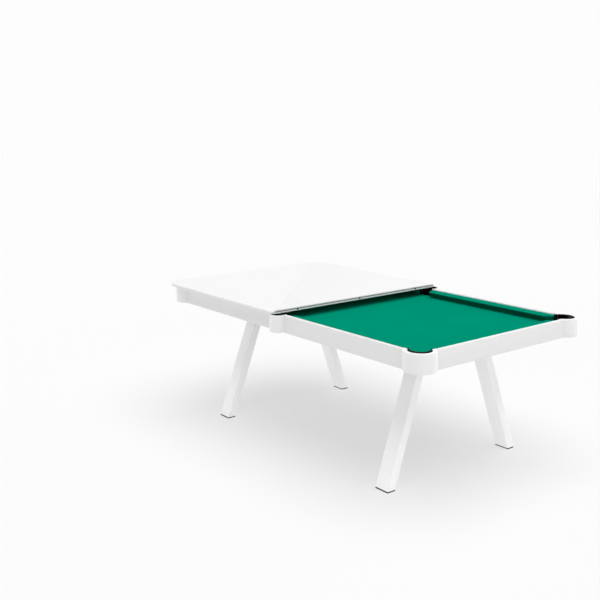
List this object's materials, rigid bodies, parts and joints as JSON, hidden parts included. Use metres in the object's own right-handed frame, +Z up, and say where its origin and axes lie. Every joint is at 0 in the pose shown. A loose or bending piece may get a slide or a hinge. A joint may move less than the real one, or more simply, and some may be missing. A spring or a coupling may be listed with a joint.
{
  "type": "convertible pool table",
  "caption": "White dining and pool table with splayed tube legs, green cloth bed, round corner casings with black pockets, and a lift-off half cover.",
  "frame": {"origin": "on the floor, under the middle of the whole model's bounding box; the table's own middle is 28.5 mm towards +X, because the half cover overhangs the -X end", "axes": "+X along the table towards the uncovered end, +Y across it, +Z up"},
  "size_m": [2.253, 1.3098, 0.802],
  "materials": {
    "frame_paint": "dark grey powder coat on steel tube",
    "slate": "honed grey slate",
    "zinc_steel": "bright zinc plated steel",
    "cloth": "green woven billiard cloth",
    "rail_wood": "plain beech",
    "cushion_rubber": "moulded cushion rubber",
    "white_lacquer": "satin white lacquer on fibreboard",
    "white_casting": "satin white powder coat on aluminium",
    "black_plastic": "fine grained black moulding",
    "white_steel": "satin white powder coat on steel tube",
    "brass": "turned brass",
    "grey_edge": "grey edge band",
    "pad_rubber": "black rubber"
  },
  "bodies": {
    "table": {"frame_long": "frame_paint", "frame_cross": "frame_paint", "leg_beam": "frame_paint", "slate_bed": "slate", "slate_screws": "zinc_steel", "bed_cloth": "cloth", "subrail_side": "rail_wood", "subrail_end": "rail_wood", "rubber_side": "cushion_rubber", "rubber_end": "cushion_rubber", "cushion_cloth_side": "cloth", "cushion_cloth_end": "cloth", "rail_bolts": "zinc_steel", "rail_washers": "zinc_steel", "rail_side": "white_lacquer", "rail_end": "white_lacquer", "corner_block": "white_casting", "middle_block": "white_casting", "joint_straps": "zinc_steel", "strap_screws": "zinc_steel", "frame_brackets": "frame_paint", "liner_pp": "black_plastic", "liner_pn": "black_plastic", "liner_np": "black_plastic", "liner_nn": "black_plastic", "liner_mp": "black_plastic", "liner_mn": "black_plastic", "liner_screws": "zinc_steel", "leg_plate": "white_steel", "leg_bolts": "zinc_steel", "leg_nuts": "zinc_steel", "leg_tube": "white_steel", "leg_plug": "black_plastic", "leg_insert": "brass"},
    "cover": {"cover_panel": "white_lacquer", "cover_edge": "grey_edge", "cover_bushes": "black_plastic", "cover_battens": "rail_wood", "batten_screws": "zinc_steel", "cover_pads": "pad_rubber"},
    "foot_pp": {"foot_stud_pp": "zinc_steel", "foot_pad_pp": "black_plastic"},
    "foot_pn": {"foot_stud_pn": "zinc_steel", "foot_pad_pn": "black_plastic"},
    "foot_np": {"foot_stud_np": "zinc_steel", "foot_pad_np": "black_plastic"},
    "foot_nn": {"foot_stud_nn": "zinc_steel", "foot_pad_nn": "black_plastic"}
  },
  "joints": [
    {"name": "cover_lift", "type": "slide", "parent": "table", "child": "cover", "axis": [0, 0, 1], "range_m": [0, 0.3]},
    {"name": "foot_pp_screw", "type": "slide", "parent": "table", "child": "foot_pp", "axis": [0, 0, -1], "range_m": [0, 0.012]},
    {"name": "foot_pn_screw", "type": "slide", "parent": "table", "child": "foot_pn", "axis": [0, 0, -1], "range_m": [0, 0.012]},
    {"name": "foot_np_screw", "type": "slide", "parent": "table", "child": "foot_np", "axis": [0, 0, -1], "range_m": [0, 0.012]},
    {"name": "foot_nn_screw", "type": "slide", "parent": "table", "child": "foot_nn", "axis": [0, 0, -1], "range_m": [0, 0.012]}
  ]
}
